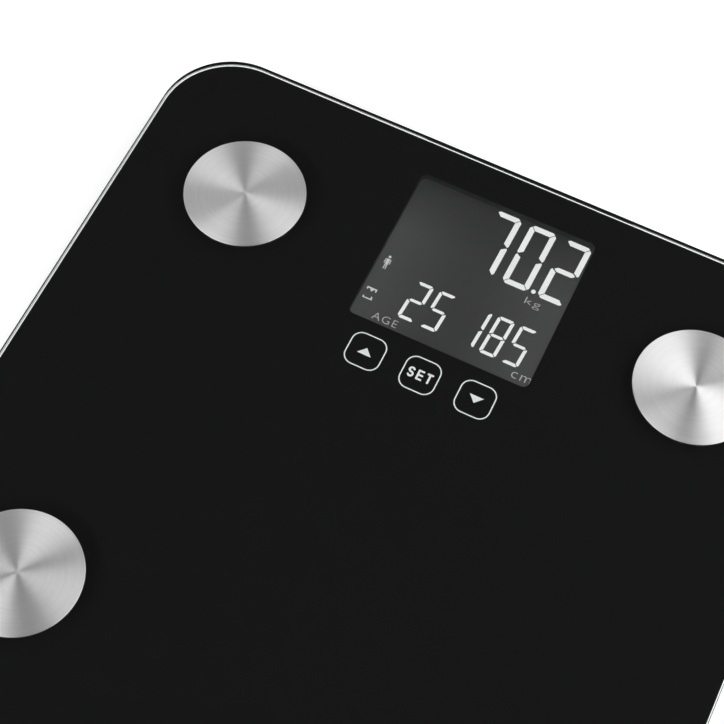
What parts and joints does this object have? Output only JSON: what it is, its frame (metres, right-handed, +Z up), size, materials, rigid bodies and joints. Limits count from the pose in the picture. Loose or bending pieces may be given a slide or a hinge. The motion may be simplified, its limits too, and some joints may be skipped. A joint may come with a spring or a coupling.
{
  "type": "digital bathroom scale",
  "caption": "Square glass bathroom scale with spun steel electrode discs, a lit LCD behind a window in the black print, touch keys, and load-cell feet.",
  "frame": {"origin": "on the floor, under the middle of the square platform", "axes": "+Z up, +Y towards the display end of the platform, +X to the right of a person who reads the display"},
  "size_m": [0.3, 0.3, 0.025],
  "materials": {
    "platform_glass": "polished tempered plate",
    "black_print": "screen-printed black ink",
    "white_print": "screen-printed white ink",
    "foam_tape": "black foam tape",
    "adhesive": "cured adhesive",
    "nylon": "natural nylon",
    "tinned_copper": "tinned",
    "zinc_steel": "zinc plated",
    "gauge_silicone": "white silicone coat",
    "lead_insulation": "soft insulation",
    "lead_insulation_red": "soft insulation",
    "black_abs": "fine-grained moulded",
    "black_foam": "closed-cell foam",
    "grey_bezel": "satin moulded",
    "polariser_film": "satin film",
    "lcd_glass": "thin glass cell",
    "light_guide": "clear acrylic",
    "led_package": "moulded package",
    "zebra_silicone": "layered silicone",
    "circuit_board": "green solder mask",
    "component_resin": "potting resin",
    "spring_steel": "bright drawn",
    "cell_jacket": "printed jacket, plain",
    "nickel_plate": "nickel plated",
    "door_abs": "fine-grained moulded",
    "button_rubber": "moulded, matt",
    "switch_plastic": "moulded",
    "spun_steel": "spun, circular brushing",
    "load_cell_steel": "nickel-plated alloy steel",
    "foot_abs": "fine-grained moulded",
    "foot_rubber": "soft anti-slip rubber"
  },
  "bodies": {
    "platform": {"backlight_guide": "light_guide", "backlight_leds": "led_package", "batteries": "cell_jacket", "battery_contacts": "nickel_plate", "battery_leads": "lead_insulation_red", "battery_tray": "black_abs", "black_screen_print": "black_print", "board_components": "component_resin", "board_screws": "zinc_steel", "display_housing": "black_abs", "electrode_adhesives": "adhesive", "electrode_back_left": "spun_steel", "electrode_back_right": "spun_steel", "electrode_front_left": "spun_steel", "electrode_front_right": "spun_steel", "electrode_leads": "lead_insulation_red", "electrode_nuts": "zinc_steel", "electrode_washers": "zinc_steel", "foot_cap_back_left": "foot_abs", "foot_cap_back_right": "foot_abs", "foot_cap_front_left": "foot_abs", "foot_cap_front_right": "foot_abs", "foot_housing_back_left": "black_abs", "foot_housing_back_right": "black_abs", "foot_housing_front_left": "black_abs", "foot_housing_front_right": "black_abs", "foot_pad_back_left": "foot_rubber", "foot_pad_back_right": "foot_rubber", "foot_pad_front_left": "foot_rubber", "foot_pad_front_right": "foot_rubber", "foot_retainer_back_left": "black_abs", "foot_retainer_back_right": "black_abs", "foot_retainer_front_left": "black_abs", "foot_retainer_front_right": "black_abs", "foot_retainer_screws": "zinc_steel", "glass_platform": "platform_glass", "lcd_cell": "lcd_glass", "lcd_gasket": "black_foam", "lcd_holder": "grey_bezel", "lcd_polarisers": "polariser_film", "load_cell_back_left": "load_cell_steel", "load_cell_back_right": "load_cell_steel", "load_cell_front_left": "load_cell_steel", "load_cell_front_right": "load_cell_steel", "load_cell_leads": "lead_insulation", "main_board": "circuit_board", "mounting_tapes": "foam_tape", "rear_cover": "black_abs", "rear_cover_screws": "zinc_steel", "ring_terminals": "tinned_copper", "strain_gauges": "gauge_silicone", "stud_bushes": "nylon", "touch_springs": "spring_steel", "unit_switch_body": "switch_plastic", "white_key_print": "white_print", "wire_ducts": "black_abs", "zebra_strips": "zebra_silicone"},
    "battery_door": {"battery_door": "door_abs"},
    "unit_button": {"unit_button": "button_rubber", "unit_switch_plunger": "switch_plastic"}
  },
  "joints": [
    {"name": "battery_door_slide", "type": "slide", "parent": "platform", "child": "battery_door", "axis": [0, -1, 0], "range_m": [0, 0.031]},
    {"name": "unit_button_press", "type": "slide", "parent": "platform", "child": "unit_button", "axis": [0, 0, 1], "range_m": [0, 0.0005], "stiffness_N_per_m": 2000}
  ]
}
